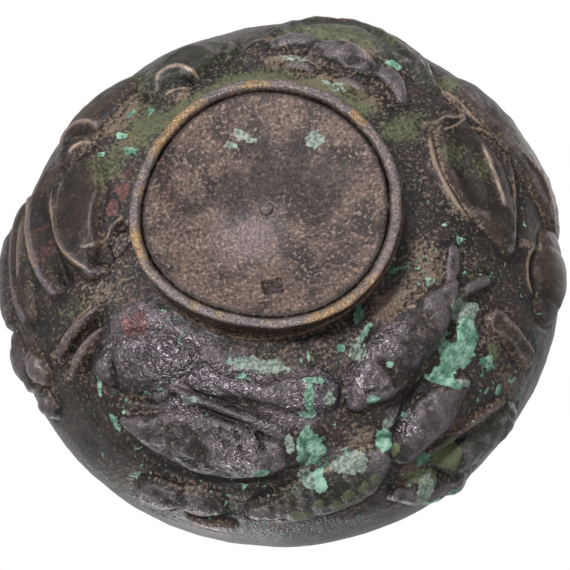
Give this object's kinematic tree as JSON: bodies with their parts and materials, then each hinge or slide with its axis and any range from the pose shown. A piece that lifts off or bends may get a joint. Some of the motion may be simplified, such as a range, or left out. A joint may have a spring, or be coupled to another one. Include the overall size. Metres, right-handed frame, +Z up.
{
  "type": "relief bowl",
  "caption": "Round bulging bronze bowl on a low foot ring, its wall covered with relief of fish, leaves, buds and shells.",
  "frame": {"origin": "centre of the foot ring's standing face", "axes": "+Z up the bowl's axis towards its mouth; +X and +Y lie in the standing face, with the tail of the right-hand fish near -X"},
  "size_m": [0.1567, 0.154, 0.078],
  "materials": {
    "dark_bronze": "dark brown cast bronze, aged and hand-polished",
    "brown_bronze": "brown cast bronze, aged",
    "grey_bronze": "grey-brown cast bronze with a worn gloss",
    "tan_bronze": "cast bronze with tan dirt in its hollows",
    "green_patina": "cast bronze under olive and malachite-green patina",
    "base_bronze": "pinkish-brown cast bronze, pitted",
    "worn_rim": "bronze worn to a brass-yellow edge"
  },
  "bodies": {
    "root": {"bowl_body": "dark_bronze", "foot_ring": "worn_rim", "base_plate": "base_bronze", "centre_pip": "tan_bronze", "fish_right": "dark_bronze", "fish_left": "dark_bronze", "fish_bottom": "green_patina", "fish_lower": "dark_bronze", "spool": "grey_bronze", "stem": "grey_bronze", "branch": "tan_bronze", "pod_lower": "green_patina", "pod_rim": "dark_bronze", "boss_right": "brown_bronze", "leaf_right": "brown_bronze", "leaf_right_curl": "tan_bronze", "petal_right": "brown_bronze", "stalk_right": "tan_bronze", "animal_body": "grey_bronze", "animal_head": "tan_bronze", "animal_tail": "tan_bronze", "bead_top_left": "tan_bronze", "bead_top_right": "tan_bronze", "petal_top": "green_patina", "shell_top": "green_patina", "shell_left": "brown_bronze", "leaf_left": "brown_bronze", "leaf_fold_inner": "brown_bronze", "leaf_fold_middle": "brown_bronze", "leaf_fold_outer": "dark_bronze", "bud_large": "dark_bronze", "bud_middle": "tan_bronze", "bud_small": "dark_bronze", "sprig_upper": "tan_bronze", "sprig_lower": "tan_bronze", "gourd_bottom": "dark_bronze", "gourd_leaf": "tan_bronze", "melon": "grey_bronze"}
  },
  "joints": []
}
